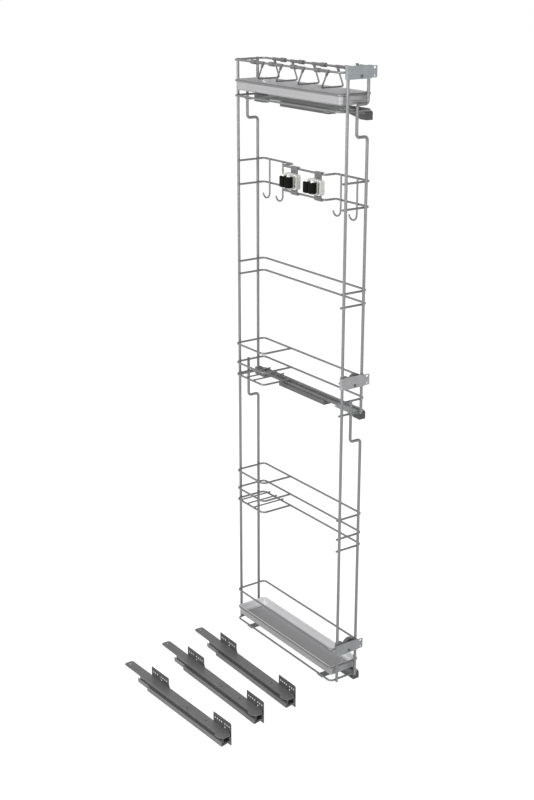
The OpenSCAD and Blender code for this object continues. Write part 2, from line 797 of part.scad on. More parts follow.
module rear_catches() {
    h = base_z - 6.5;
    w = carrier_w - 2;
    wall = 2;
    color([0.32, 0.32, 0.33]) at_carriers()
        translate([1, level_d + carrier_back - catch_l, carrier_top - h]) difference() {
            rounded_slab(w, catch_l, h, 6);
            translate([wall, wall + 3, h - 7]) rounded_slab(w - 2 * wall, catch_l - 2 * wall - 6, 8, 5);
        }
}

// ---------- runners ----------

module at_runner(k) {
    in_place() translate([runner_at[k][0], runner_at[k][1], 0]) rotate([0, 0, runner_turn[k]]) children();
}

flange_back = fixed_l + flange_past;
hole_z_row = flange_h - 14;
front_holes = [for (i = [0:3]) flange_behind + front_flange_l - 7.5 - i * screw_pitch,
               for (i = [0:2]) flange_behind + 9 + i * screw_pitch];
rear_holes = [for (i = [0:2]) flange_back - 8 - i * screw_pitch,
              for (i = [0:3]) flange_back - rear_flange_l + 10 + i * screw_pitch];

// Outline of the far wall with both flanges, length along X and height along Y
module flange_outline() {
    rear = flange_back - rear_flange_l;
    wall_h = runner_h - 3 - runner_lift;
    translate([flange_behind, runner_lift]) square([flange_back - flange_behind, wall_h]);
    translate([flange_behind, 0]) square([front_flange_l, flange_h - 4]);
    translate([flange_behind + 4, 0]) square([front_flange_l - 4, flange_h]);
    translate([flange_behind + 4, flange_h - 4]) circle(4);
    polygon([[rear - 5, 0], [rear - 5, runner_h - 3], [rear, runner_h + 6], [rear, flange_h],
             [flange_back, flange_h], [flange_back, 0]]);
}

// Fixed profile with two screw flanges
module runner_fixed(k) {
    wall_x = runner_w - runner_t;
    color([0.42, 0.42, 0.43]) at_runner(k) difference() {
        union() {
            translate([0, 0, runner_lift]) cube([runner_t, fixed_l, near_wall_h]);
            translate([0, 0, runner_lift]) linear_extrude(runner_t) polygon([
                [0, 0], [runner_w, flange_behind], [runner_w, fixed_l], [0, fixed_l]
            ]);
            translate([wall_x, 0, 0]) rotate([90, 0, 90]) linear_extrude(runner_t) flange_outline();
        }
        for (y = concat(front_holes, rear_holes))
            translate([wall_x - 1, y, hole_z_row]) rotate([0, 90, 0])
                cylinder(h = runner_t + 2, r = screw_hole_r);
        for (p = [[front_holes[6], hole_z_row - 10], [front_holes[4], 8], [rear_holes[6], hole_z_row - 9]])
            translate([wall_x - 1, p[0], p[1]]) rotate([0, 90, 0])
                cylinder(h = runner_t + 2, r = screw_hole_r);
    }
}

middle_front = 4;
ball_count = 5;
ball_pitch = 12;
fixed_balls = [232, 292];
stem_balls = [20, 112];

// Middle profile: an open channel between the fixed profile and the stem of the top profile
module runner_middle(k) {
    color([0.45, 0.45, 0.46]) at_runner(k) translate([middle_x, middle_front, middle_z]) difference() {
        cube([middle_w, middle_l, middle_h]);
        translate([middle_t, -1, middle_t])
            cube([middle_w - 2 * middle_t, middle_l + 2, middle_h]);
    }
}

// Rows of balls on both sides: outside the middle profile and inside it
module runner_balls(k) {
    outer = runner_t + ball_fit + ball_d / 2;
    inner = middle_x + middle_t + ball_fit + ball_d / 2;
    color([0.7, 0.7, 0.7]) at_runner(k)
        for (i = [0:ball_count - 1])
            for (x = [0, 1]) {
                for (start = fixed_balls)
                    translate([x == 0 ? outer : runner_w - outer, start + i * ball_pitch, fixed_ball_z])
                        sphere(d = ball_d);
                for (start = stem_balls)
                    translate([x == 0 ? inner : runner_w - inner, start + i * ball_pitch, stem_ball_z])
                        sphere(d = ball_d);
            }
}

// Outline of the top plate: rounded at the far front corner and at the back
module top_outline() {
    w = runner_w - plate_near - plate_far;
    near_r = 3;
    far_r = 20;
    tip = 9;
    translate([near_r, 0]) square([w - near_r - far_r, far_r]);
    translate([0, near_r]) square([w - far_r, far_r]);
    translate([near_r, near_r]) circle(near_r);
    translate([w - far_r, far_r]) circle(far_r);
    translate([0, far_r]) square([w, top_l - far_r - tip]);
    translate([tip, far_r]) square([w - 2 * tip, top_l - far_r]);
    for (x = [tip, w - tip]) translate([x, top_l - tip]) circle(tip);
}

// Top profile: a wide plate on a stem that runs in the middle profile
module runner_top(k) {
    pad = 0.9;
    stem_l = middle_l - 5;
    color([0.43, 0.43, 0.44]) at_runner(k) {
        translate([plate_near, -top_ahead, runner_h - top_t]) difference() {
            union() {
                linear_extrude(top_t) top_outline();
                translate([8, 5, top_t - 0.1]) rounded_slab(18, 52, pad + 0.1, 8);
            }
            for (p = [[14, 100, 2], [9, 183, 2], [15, top_l - 12, 2.6], [17, 24, 2.2], [17, 42, 1.6]])
                translate([p[0], p[1], -1]) cylinder(h = top_t + 3, r = p[2]);
        }
        translate([stem_x, middle_front, stem_z]) difference() {
            cube([stem_w, stem_l, runner_h - top_t - stem_z]);
            translate([1.6, -1, -1])
                cube([stem_w - 3.2, stem_l + 2, runner_h - top_t - stem_z - 0.8]);
        }
    }
}

near_uprights();
far_uprights_upper();
far_uprights_lower();
closed_ring(top_guard_z);  // top_guard_ring
closed_ring(top_tray_z);  // top_tray_ring
closed_ring(top_z);  // top_floor_ring
hook_rails();
cloth_hooks();
side_rails();
shelf_wires(middle_shelf_z);  // middle_shelf_wires
shelf_wires(lower_shelf_z);  // lower_shelf_wires
shelf_floor_wires();
closed_ring(base_guard_z);  // base_guard_ring
closed_ring(base_tray_z);  // base_tray_ring
closed_ring(base_z);  // base_floor_ring
tray(top_tray_z);  // top_tray
tray(base_tray_z);  // bottom_tray
for (k = [0:3]) {
    divider_wire(k);
    divider_clips(k);
    grip_arm(k);
    grip_roller(k);
}
grip_plates();
grip_bodies();
door_plate(top_guard_z);  // door_plate_top
door_plate(middle_guard_z);  // door_plate_middle
door_plate(base_guard_z);  // door_plate_bottom
door_clamps();
door_screws();
lock_knob();
carrier_rails();
carrier_plates();
damper_housings();
dampers();
front_blocks();
rear_catches();
for (k = [0:2]) {
    runner_fixed(k);
    runner_middle(k);
    runner_top(k);
    runner_balls(k);
}
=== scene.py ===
"""Looks of a pull-out frame for a narrow cupboard, with its baskets, tool grips and runners."""

import json
import math

import bmesh
import bpy
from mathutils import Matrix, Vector

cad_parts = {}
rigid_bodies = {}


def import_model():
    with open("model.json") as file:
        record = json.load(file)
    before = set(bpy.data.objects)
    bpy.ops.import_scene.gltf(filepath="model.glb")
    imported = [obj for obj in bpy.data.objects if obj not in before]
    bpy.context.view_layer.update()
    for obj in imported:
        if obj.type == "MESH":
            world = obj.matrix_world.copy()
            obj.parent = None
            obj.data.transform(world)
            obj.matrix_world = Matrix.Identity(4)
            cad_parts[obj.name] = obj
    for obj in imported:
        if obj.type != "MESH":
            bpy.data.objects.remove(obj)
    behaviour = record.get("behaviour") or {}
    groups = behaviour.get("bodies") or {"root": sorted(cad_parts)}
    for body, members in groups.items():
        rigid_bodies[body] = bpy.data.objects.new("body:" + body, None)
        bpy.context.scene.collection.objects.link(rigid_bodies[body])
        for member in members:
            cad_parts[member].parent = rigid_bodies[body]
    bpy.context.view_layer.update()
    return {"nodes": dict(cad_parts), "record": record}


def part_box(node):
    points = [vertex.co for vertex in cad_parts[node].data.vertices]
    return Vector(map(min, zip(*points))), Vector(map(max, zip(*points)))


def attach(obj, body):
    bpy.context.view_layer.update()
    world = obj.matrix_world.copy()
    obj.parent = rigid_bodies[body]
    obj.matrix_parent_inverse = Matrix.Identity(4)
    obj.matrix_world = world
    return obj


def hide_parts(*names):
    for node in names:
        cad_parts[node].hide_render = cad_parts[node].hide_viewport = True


for leftover in list(bpy.data.objects):
    bpy.data.objects.remove(leftover)

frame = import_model()
nodes = frame["nodes"]

# ---------- camera ----------

CAMERA_PLACE = (-2.19793, -2.89278, 2.04266)
CAMERA_TILT = 71.005
CAMERA_HEADING = -35.229
CAMERA_LENS = 60.55
CAMERA_SENSOR = 36.0


def make_camera():
    data = bpy.data.cameras.new("camera")
    data.sensor_width = CAMERA_SENSOR
    data.lens = CAMERA_LENS
    data.clip_start = 0.1
    data.clip_end = 60
    camera = bpy.data.objects.new("camera", data)
    camera.location = CAMERA_PLACE
    camera.rotation_euler = (math.radians(CAMERA_TILT), 0, math.radians(CAMERA_HEADING))
    bpy.context.scene.collection.objects.link(camera)
    bpy.context.scene.camera = camera


# ---------- nodes of a material ----------


def add(tree, kind, **settings):
    """A new node of a tree, with its settings."""
    node = tree.nodes.new(kind)
    for name, value in settings.items():
        setattr(node, name, value)
    return node


def feed(tree, node, values):
    """Sets a node's inputs by name or number: a socket is linked, anything else is a value."""
    for key, value in values.items():
        if isinstance(value, bpy.types.NodeSocket):
            tree.links.new(value, node.inputs[key])
        else:
            node.inputs[key].default_value = value
    return node


def maths(tree, operation, *values, clamp=False):
    node = add(tree, "ShaderNodeMath", operation=operation, use_clamp=clamp)
    feed(tree, node, dict(enumerate(values)))
    return node.outputs[0]


def noise(tree, vector, scale, detail=2.0, roughness=0.5):
    node = add(tree, "ShaderNodeTexNoise")
    feed(tree, node, {"Vector": vector, "Scale": scale, "Detail": detail, "Roughness": roughness})
    return node.outputs["Fac"]


def object_place(tree):
    """Object coordinates, so that a pattern stays on its piece when the body moves."""
    return add(tree, "ShaderNodeTexCoord").outputs["Object"]


def vector_maths(tree, operation, values, output="Vector"):
    node = add(tree, "ShaderNodeVectorMath", operation=operation)
    return feed(tree, node, values).outputs[output]


def split(tree, vector):
    return feed(tree, add(tree, "ShaderNodeSeparateXYZ"), {0: vector}).outputs


def blend(tree, factor, first, second):
    node = add(tree, "ShaderNodeMix", data_type="RGBA")
    return feed(tree, node, {0: factor, 6: first, 7: second}).outputs[2]


def remap(tree, value, low, high, to_low=0.0, to_high=1.0):
    node = add(tree, "ShaderNodeMapRange")
    feed(tree, node, {"Value": value, "From Min": low, "From Max": high,
                      "To Min": to_low, "To Max": to_high})
    return node.outputs["Result"]


def signed(tree, noise_value):
    """Noise spread over -1 to 1."""
    return remap(tree, noise_value, *NOISE_RANGE, -1.0, 1.0)


def varied(tree, colour, change, amount):
    """Colour made lighter or darker by a signed change, at most by amount."""
    factor = maths(tree, "MULTIPLY_ADD", change, amount, 1.0)
    return vector_maths(tree, "SCALE", {0: colour, "Scale": factor})


def group(name, inputs, outputs):
    """A shader node group with named sockets: inputs are (kind, name, default)."""
    tree = bpy.data.node_groups.new(name, "ShaderNodeTree")
    for kind, label, default in inputs:
        socket = tree.interface.new_socket(label, in_out="INPUT", socket_type=kind)
        socket.default_value = default
    for kind, label in outputs:
        tree.interface.new_socket(label, in_out="OUTPUT", socket_type=kind)
    return tree, add(tree, "NodeGroupInput").outputs, add(tree, "NodeGroupOutput")


NOISE_RANGE = (0.3, 0.7)
SMUDGES_PER_METRE = 35.0
SWIRLS_PER_METRE = 90.0
SWIRL_SIZE = 0.006
FACING_BLUR = 0.004
FLOOR_TO_WALL = (0.0015, 0.0055)

FLOAT = "NodeSocketFloat"
COLOUR = "NodeSocketColor"
VECTOR = "NodeSocketVector"


def tone_drift_group():
    """Slow, faint change of tone over a finish."""
    tree, given, out = group("tone_drift", [
        (COLOUR, "Colour", (0.5, 0.5, 0.5, 1)), (FLOAT, "Amount", 0.1), (FLOAT, "Scale", 12.0),
    ], [(COLOUR, "Colour"), (FLOAT, "Mask")])
    slow = noise(tree, object_place(tree), given["Scale"], 3.0)
    colour = varied(tree, given["Colour"], signed(tree, slow), given["Amount"])
    feed(tree, out, {"Colour": colour, "Mask": slow})
    return tree


def coat_grain_group():
    """Orange peel of a sprayed coat: fine height and a matching change of gloss."""
    tree, given, out = group("coat_grain", [
        (FLOAT, "Size", 0.0012), (FLOAT, "Gloss", 0.4), (FLOAT, "Gloss drift", 0.08),
    ], [(FLOAT, "Height"), (FLOAT, "Roughness")])
    place = object_place(tree)
    fine = noise(tree, place, maths(tree, "DIVIDE", 1.0, given["Size"]))
    smudge = signed(tree, noise(tree, place, SMUDGES_PER_METRE, 4.0))
    rough = maths(tree, "MULTIPLY_ADD", smudge, given["Gloss drift"], given["Gloss"])
    feed(tree, out, {"Height": fine, "Roughness": rough})
    return tree


def rolled_group():
    """Drawn lines of rolled sheet: long along the axis whose stretch is small."""
    tree, given, out = group("rolled_lines", [
        (COLOUR, "Colour", (0.5, 0.5, 0.5, 1)), (VECTOR, "Stretch", (1.0, 0.02, 1.0)),
        (FLOAT, "Scale", 900.0), (FLOAT, "Amount", 0.08), (FLOAT, "Gloss", 0.4),
    ], [(COLOUR, "Colour"), (FLOAT, "Height"), (FLOAT, "Roughness")])
    mapping = add(tree, "ShaderNodeMapping")
    feed(tree, mapping, {"Vector": object_place(tree), "Scale": given["Stretch"]})
    lines = noise(tree, mapping.outputs["Vector"], given["Scale"], 3.0, 0.6)
    change = signed(tree, lines)
    colour = varied(tree, given["Colour"], change, given["Amount"])
    rough = maths(tree, "MULTIPLY_ADD", change, maths(tree, "MULTIPLY", given["Amount"], 0.6),
                  given["Gloss"], clamp=True)
    feed(tree, out, {"Colour": colour, "Height": lines, "Roughness": rough})
    return tree


def zinc_bloom_group():
    """Cloudy crystals of a zinc plated sheet."""
    tree, given, out = group("zinc_bloom", [
        (COLOUR, "Colour", (0.5, 0.5, 0.5, 1)), (FLOAT, "Crystal", 0.006), (FLOAT, "Amount", 0.12),
    ], [(COLOUR, "Colour"), (FLOAT, "Mask")])
    place = object_place(tree)
    swirl = add(tree, "ShaderNodeTexNoise")
    feed(tree, swirl, {"Vector": place, "Scale": SWIRLS_PER_METRE, "Detail": 2.0})
    offset = vector_maths(tree, "SCALE", {0: swirl.outputs["Color"], "Scale": SWIRL_SIZE})
    cells = add(tree, "ShaderNodeTexVoronoi")
    feed(tree, cells, {"Vector": vector_maths(tree, "ADD", {0: place, 1: offset}),
                       "Scale": maths(tree, "DIVIDE", 1.0, given["Crystal"])})
    shade = add(tree, "ShaderNodeSeparateColor")
    feed(tree, shade, {0: cells.outputs["Color"]})
    change = maths(tree, "MULTIPLY_ADD", shade.outputs[0], 2.0, -1.0)
    colour = varied(tree, given["Colour"], change, given["Amount"])
    feed(tree, out, {"Colour": colour, "Mask": shade.outputs[0]})
    return tree


def tray_painted_light_group():
    """Painted light and shade on a pressed tray, by facing and height: inner walls and rim lighter
    as painted light, the floor darker as painted shade, and a painted tone of its own on faces
    turned outwards.
    """
    tree, given, out = group("tray_painted_light", [
        (COLOUR, "Wall", (0.5, 0.5, 0.5, 1)), (COLOUR, "Floor", (0.5, 0.5, 0.5, 1)),
        (COLOUR, "Outside", (0.5, 0.5, 0.5, 1)), (VECTOR, "Middle", (0, 0, 0)),
        (FLOAT, "Floor height", 0.0),
    ], [(COLOUR, "Colour")])
    coordinates = add(tree, "ShaderNodeTexCoord").outputs
    inwards = vector_maths(tree, "SUBTRACT", {0: given["Middle"], 1: coordinates["Object"]})
    facing_in = vector_maths(tree, "DOT_PRODUCT", {0: inwards, 1: coordinates["Normal"]}, "Value")
    # Painted light on the inner walls, painted shade on the floor, and a separate painted tone on
    # faces turned outwards.
    inside = remap(tree, facing_in, -FACING_BLUR, FACING_BLUR)
    above = maths(tree, "SUBTRACT", split(tree, coordinates["Object"])["Z"], given["Floor height"])
    inner = blend(tree, remap(tree, above, *FLOOR_TO_WALL), given["Floor"], given["Wall"])
    feed(tree, out, {"Colour": blend(tree, inside, given["Outside"], inner)})
    return tree


TONE_DRIFT = tone_drift_group()
COAT_GRAIN = coat_grain_group()
ROLLED = rolled_group()
ZINC_BLOOM = zinc_bloom_group()
TRAY_PAINTED_LIGHT = tray_painted_light_group()


COAT_PEEL = 0.000012
TONE_POINT_RISE = 0.05
FLANGE_FOOT = (0.036, 0.04)


def place_group(tree, which, **values):
    node = add(tree, "ShaderNodeGroup", node_tree=which)
    feed(tree, node, {key.replace("_", " "): value for key, value in values.items()})
    return node.outputs


def new_finish(name, metallic=0.0):
    material = bpy.data.materials.new(name)
    material.use_nodes = True
    tree = material.node_tree
    shader = tree.nodes["Principled BSDF"]
    feed(tree, shader, {"Metallic": metallic})
    return material, tree, shader


def bump(tree, shader, height, distance, strength=0.5):
    node = add(tree, "ShaderNodeBump")
    feed(tree, node, {"Height": height, "Distance": distance, "Strength": strength})
    feed(tree, shader, {"Normal": node.outputs["Normal"]})


def sprayed(tree, shader, colour, drift, grain, gloss, gloss_drift, peel):
    """Slow drift of tone and the orange peel of a sprayed coat."""
    tone = place_group(tree, TONE_DRIFT, Colour=colour, Amount=drift, Scale=14.0)
    grained = place_group(tree, COAT_GRAIN, Size=grain, Gloss=gloss, Gloss_drift=gloss_drift)
    feed(tree, shader, {"Base Color": tone["Colour"], "Roughness": grained["Roughness"]})
    bump(tree, shader, grained["Height"], COAT_PEEL, peel)


def coated_wire(name, colour):
    """Sprayed silver-grey coat on wire."""
    material, tree, shader = new_finish(name, 0.55)
    sprayed(tree, shader, (*colour, 1),
            drift=0.04, grain=0.0010, gloss=0.34, gloss_drift=0.06, peel=0.25)
    return material


def tray_sheet(name, wall, floor, outside):
    """Coated sheet of one tray with painted light and shade, its inner and outer painted tones
    split by a point above its middle.
    """
    low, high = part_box(name)
    middle = [(a + b) / 2 for a, b in zip(low, high)]
    middle[2] = high[2] + TONE_POINT_RISE
    material, tree, shader = new_finish(name + "_sheet_with_painted_light", 0.4)
    light_and_shade = place_group(tree, TRAY_PAINTED_LIGHT, Wall=(*wall, 1), Floor=(*floor, 1),
                        Outside=(*outside, 1), Middle=middle, Floor_height=low[2])
    sprayed(tree, shader, light_and_shade["Colour"],
            drift=0.02, grain=0.003, gloss=0.4, gloss_drift=0.04, peel=0.06)
    return material


def zinc_plated(name, colour):
    material, tree, shader = new_finish(name, 0.55)
    bloom = place_group(tree, ZINC_BLOOM, Colour=(*colour, 1), Crystal=0.005, Amount=0.07)
    tone = place_group(tree, TONE_DRIFT, Colour=bloom["Colour"], Amount=0.06, Scale=40.0)
    rough = remap(tree, bloom["Mask"], 0.0, 1.0, 0.36, 0.5)
    feed(tree, shader, {"Base Color": tone["Colour"], "Roughness": rough})
    bump(tree, shader, tone["Mask"], 0.0001, 0.3)
    return material


def drawn_strip(tree, shader, colour, gloss, depth):
    """Rolling lines along the depth, with a slow drift of tone."""
    rolled = place_group(tree, ROLLED, Colour=colour, Stretch=(1.0, 0.015, 1.0),
                         Scale=700.0, Amount=0.07, Gloss=gloss)
    tone = place_group(tree, TONE_DRIFT, Colour=rolled["Colour"], Amount=0.08, Scale=25.0)
    feed(tree, shader, {"Base Color": tone["Colour"], "Roughness": rolled["Roughness"]})
    bump(tree, shader, rolled["Height"], depth)


def rolled_steel(name, colour):
    """Dark coated steel strip."""
    material, tree, shader = new_finish(name, 0.5)
    drawn_strip(tree, shader, (*colour, 1), gloss=0.42, depth=0.00005)
    return material


def moulded(name, colour, gloss=0.5, grain=0.0006, shine=0.5):
    """Moulded plastic or rubber with a fine spark-eroded grain."""
    material, tree, shader = new_finish(name)
    feed(tree, shader, {"Specular IOR Level": shine})
    tone = place_group(tree, TONE_DRIFT, Colour=(*colour, 1), Amount=0.05, Scale=30.0)
    grained = place_group(tree, COAT_GRAIN, Size=grain, Gloss=gloss, Gloss_drift=0.05)
    feed(tree, shader, {"Base Color": tone["Colour"], "Roughness": grained["Roughness"]})
    bump(tree, shader, grained["Height"], 0.00005)
    return material


def faded(tree, colour, darker, low, high):
    """Colour that turns darker where the object's height goes from low to high."""
    mask = remap(tree, split(tree, object_place(tree))["Z"], low, high)
    return blend(tree, mask, (*colour, 1), (*darker, 1))


def flanged_steel(name, colour, flange):
    """Runner profile whose screw flanges, above its own channel, are darker."""
    material, tree, shader = new_finish(name, 0.4)
    drawn_strip(tree, shader, faded(tree, colour, flange, *FLANGE_FOOT), gloss=0.45, depth=0.00004)
    return material


WIRE_COAT = coated_wire("wire_coating", (0.225, 0.225, 0.227))
# Wall, floor and outside colours of each tray are painted light and shade, set per tray to how that
# tray is lit: walls lighter, floor darker.
TRAY_SHEETS = {
    "top_tray": tray_sheet("top_tray", wall=(0.55, 0.55, 0.56), floor=(0.36, 0.36, 0.367),
                           outside=(0.44, 0.44, 0.448)),
    "bottom_tray": tray_sheet("bottom_tray", wall=(0.80, 0.80, 0.81), floor=(0.33, 0.33, 0.337),
                              outside=(0.34, 0.34, 0.346)),
}
SCREW_METAL = zinc_plated("screw_steel", (0.16, 0.16, 0.17))
DARK_RIVET = moulded("dark_rivet", (0.02, 0.02, 0.02), shine=0.3)

FINISHES = {
    "wire_coating": WIRE_COAT,
    "zinc_plate": zinc_plated("zinc_plate", (0.33, 0.355, 0.37)),
    "carrier_steel": rolled_steel("carrier_steel", (0.165, 0.165, 0.167)),
    "runner_steel": rolled_steel("runner_steel", (0.182, 0.182, 0.184)),
    "grey_plastic": moulded("grey_plastic", (0.15, 0.15, 0.153)),
    "dark_plastic": moulded("dark_plastic", (0.122, 0.122, 0.125)),
    "white_plastic": moulded("white_plastic", (0.84, 0.84, 0.81), gloss=0.38),
    "black_rubber": moulded("black_rubber", (0.005, 0.0053, 0.0045),
                            gloss=0.75, grain=0.0008, shine=0.1),
    "screw_steel": SCREW_METAL,
}

NODE_FINISHES = {
    **TRAY_SHEETS,
    "door_plate_middle": zinc_plated("zinc_door_middle", (0.36, 0.357, 0.367)),
    "door_plate_bottom": zinc_plated("zinc_door_bottom", (0.275, 0.287, 0.29)),
    "grip_plates": zinc_plated("zinc_grip", (0.185, 0.185, 0.19)),
    "front_blocks": moulded("ribbed_block", (0.093, 0.092, 0.094)),
}
for number in (1, 2, 3):
    NODE_FINISHES[f"runner_fixed_{number}"] = flanged_steel(
        f"runner_flanges_{number}", (0.155, 0.155, 0.157), (0.105, 0.105, 0.107))

for entry in frame["record"]["subparts"]:
    mesh = nodes[entry["node"]].data
    mesh.materials.clear()
    mesh.materials.append(NODE_FINISHES.get(entry["node"]) or FINISHES[entry["material_slot"]])


# ---------- places on the frame ----------

WIRE_R = 0.0029
POST_R = 0.004
LEVEL_W = 0.100
LEVEL_D = 0.470
SHELF_STEPS = (0.0, 0.0363, 0.0933)

corner_low, corner_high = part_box("top_guard_ring")
NEAR_X = corner_low[0] + WIRE_R
FRONT_Y = corner_low[1] + WIRE_R


def at(x, y, z):
    """A place counted from the near front corner of the wire levels and from the floor."""
    return Vector((NEAR_X + x, FRONT_Y + y, z))


def middle_height(node):
    low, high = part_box(node)
    return (low[2] + high[2]) / 2


def wire_heights():
    """Height of every level wire, and those of each group of levels."""
    heights = {}
    for ring in ("top_guard_ring", "top_tray_ring", "top_floor_ring",
                 "base_guard_ring", "base_tray_ring", "base_floor_ring"):
        heights[ring] = [middle_height(ring)]
    for rails in ("hook_rails", "side_rails"):
        low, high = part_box(rails)
        heights[rails] = [low[2] + WIRE_R, high[2] - WIRE_R]
    for shelf in ("middle_shelf_wires", "lower_shelf_wires"):
        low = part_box(shelf)[0][2] + WIRE_R
        heights[shelf] = [low + step for step in SHELF_STEPS]
    return heights


# ---------- meshes ----------


def new_piece(name, mesh, body, material=None):
    """Links a finished mesh as a piece that rides on a body."""
    if material:
        mesh.materials.append(material)
    piece = bpy.data.objects.new(name, mesh)
    bpy.context.scene.collection.objects.link(piece)
    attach(piece, body)
    return piece


def soften(mesh, angle):
    mesh.shade_smooth()
    mesh.set_sharp_from_angle(angle=math.radians(angle))


def bent_route(corners, bend, steps=10):
    """The route through corners, each inner one rounded to the bend radius."""
    route = [corners[0]]
    for before, corner, after in zip(corners, corners[1:], corners[2:]):
        back, ahead = (before - corner).normalized(), (after - corner).normalized()
        half = back.angle(ahead) / 2
        centre = corner + (back + ahead).normalized() * bend / math.sin(half)
        start = (corner + back * bend / math.tan(half) - centre).normalized()
        end = (corner + ahead * bend / math.tan(half) - centre).normalized()
        route += [centre + start.slerp(end, step / steps) * bend for step in range(steps + 1)]
    return route + [corners[-1]]


END_EASE = 0.25


def round_wire(name, route, radius, sides=16):
    """Round wire along a route, with slightly eased ends."""
    bm = bmesh.new()
    ease = radius * END_EASE
    first, last = (route[1] - route[0]).normalized(), (route[-1] - route[-2]).normalized()
    stations = [(route[0], radius - ease), (route[0] + first * ease, radius)]
    stations += [(place, radius) for place in route[1:-1]]
    stations += [(route[-1] - last * ease, radius), (route[-1], radius - ease)]
    along = first
    side = along.orthogonal().normalized()
    rings = []
    for number, (place, size) in enumerate(stations):
        before = stations[max(number - 1, 0)][0]
        after = stations[min(number + 1, len(stations) - 1)][0]
        ahead = (after - before).normalized()
        side = along.rotation_difference(ahead) @ side
        along = ahead
        up = along.cross(side)
        ring = []
        for step in range(sides):
            angle = math.tau * step / sides
            outwards = side * math.cos(angle) + up * math.sin(angle)
            ring.append(bm.verts.new(place + outwards * size))
        rings.append(ring)
    for ring, following in zip(rings, rings[1:]):
        for step in range(sides):
            after = (step + 1) % sides
            bm.faces.new((ring[step], ring[after], following[after], following[step]))
    bm.faces.new(reversed(rings[0]))
    bm.faces.new(rings[-1])
    mesh = bpy.data.meshes.new(name)
    bm.to_mesh(mesh)
    bm.free()
    soften(mesh, 50)
    return mesh


def rounded_loop(inset, height, corner, steps=7):
    """Rounded outline of a wire level, drawn in by inset, at one height."""
    half_w, half_d = LEVEL_W / 2 - inset, LEVEL_D / 2 - inset
    loop = []
    for sign_x, sign_y, start in ((1, 1, 0), (-1, 1, 90), (-1, -1, 180), (1, -1, 270)):
        for step in range(steps + 1):
            angle = math.radians(start + 90 * step / steps)
            x = sign_x * (half_w - corner) + corner * math.cos(angle)
            y = sign_y * (half_d - corner) + corner * math.sin(angle)
            loop.append(at(LEVEL_W / 2 + x, LEVEL_D / 2 + y, height))
    return loop


# ---------- pressed trays ----------

TRAY_DEPTH = 0.026
TRAY_SHEET_T = 0.0009
TRAY_WALL = WIRE_R + 0.00045
TRAY_CORNER = 0.012
LEAST_CORNER = 0.0022
RIM_RISE = 0.0010
RIM_EDGE = ((0.0004, 0.0008), (0.0002, 0.0004), (0.0007, 0.0))
RIM_BACK = 0.0012
RIM_BEND = 0.0014
WALL_STEP = ((0.0, 0.0125), (0.0002, 0.0135), (0.0009, 0.0143), (0.0011, 0.0153))
FLOOR_BEND = 0.0042
FLOOR_BEAD = ((0.016, 0.0001), (0.019, 0.0009), (0.023, 0.0009), (0.026, 0.0001))


def turn(inset, height, radius, start, end, steps):
    """Points of a bend in an outline round its centre, without the first; angles in degrees."""
    points = []
    for step in range(1, steps + 1):
        angle = math.radians(start + (end - start) * step / steps)
        points.append((inset + radius * math.cos(angle), height + radius * math.sin(angle)))
    return points


def tray_profile():
    """Inset and height of a tray's upper face, from the rolled edge over the wire to the floor."""
    top = WIRE_R + RIM_RISE
    back = TRAY_WALL - RIM_BACK
    points = [(inset, top - drop) for inset, drop in RIM_EDGE] + [(back, top)]
    points += turn(back, top - RIM_BEND, RIM_BEND, 90, 0, 4)
    wall = points[-1][0]
    points += [(wall + inset, -depth) for inset, depth in WALL_STEP]
    wall = points[-1][0]
    low = -TRAY_DEPTH + TRAY_SHEET_T
    points.append((wall, low + FLOOR_BEND))
    points += turn(wall + FLOOR_BEND, low + FLOOR_BEND, FLOOR_BEND, 180, 270, 5)
    return points + [(inset, low + rise) for inset, rise in FLOOR_BEAD]


def pressed_tray(name, node, ring):
    """Sheet tray with a rolled edge on its ring, a step in its wall and a bead round its floor."""
    height = middle_height(ring)
    bm = bmesh.new()
    loops = []
    for inset, z in tray_profile():
        corner = max(TRAY_CORNER - inset, LEAST_CORNER)
        loops.append([bm.verts.new(place) for place in rounded_loop(inset, height + z, corner)])
    count = len(loops[0])
    for loop, following in zip(loops, loops[1:]):
        for step in range(count):
            after = (step + 1) % count
            bm.faces.new((loop[step], loop[after], following[after], following[step]))
    bm.faces.new(loops[-1])
    mesh = bpy.data.meshes.new(name)
    bm.to_mesh(mesh)
    bm.free()
    soften(mesh, 40)
    piece = new_piece(name, mesh, "frame", TRAY_SHEETS[node])
    sheet = piece.modifiers.new("sheet", "SOLIDIFY")
    sheet.thickness = TRAY_SHEET_T
    sheet.offset = -1.0
    sheet.use_even_offset = True
    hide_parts(node)


# ---------- divider bows ----------

DIVIDER_REACH = 0.045
DIVIDER_DROP = 0.045
DIVIDER_FOOT = 0.015
DIVIDER_WIRE_R = 0.00225
LEG_IN = 0.008
BOW_BEND = 0.007


def divider_bow(number):
    """Bent wire of one divider, from the near sleeve down, across and up to the far sleeve."""
    node = f"divider_wire_{number}"
    low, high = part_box(node)
    centre = Vector(((low[0] + high[0]) / 2, (low[1] + high[1]) / 2, 0))
    centre.z = middle_height("top_guard_ring")
    leg = Vector((DIVIDER_FOOT, DIVIDER_REACH, -DIVIDER_DROP)).normalized()
    mirrored = Vector((-leg.x, -leg.y, leg.z))
    corners = [
        Vector((-LEVEL_W / 2, -DIVIDER_REACH, 0)) + leg * LEG_IN,
        Vector((DIVIDER_FOOT - LEVEL_W / 2, 0, -DIVIDER_DROP)),
        Vector((LEVEL_W / 2 - DIVIDER_FOOT, 0, -DIVIDER_DROP)),
        Vector((LEVEL_W / 2, DIVIDER_REACH, 0)) + mirrored * LEG_IN,
    ]
    route = bent_route([centre + corner for corner in corners], BOW_BEND)
    name = f"divider_bow_{number}"
    piece = new_piece(name, round_wire(name, route, DIVIDER_WIRE_R), f"divider_{number}",
                      WIRE_COAT)
    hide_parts(node)


# ---------- repeated small pieces ----------


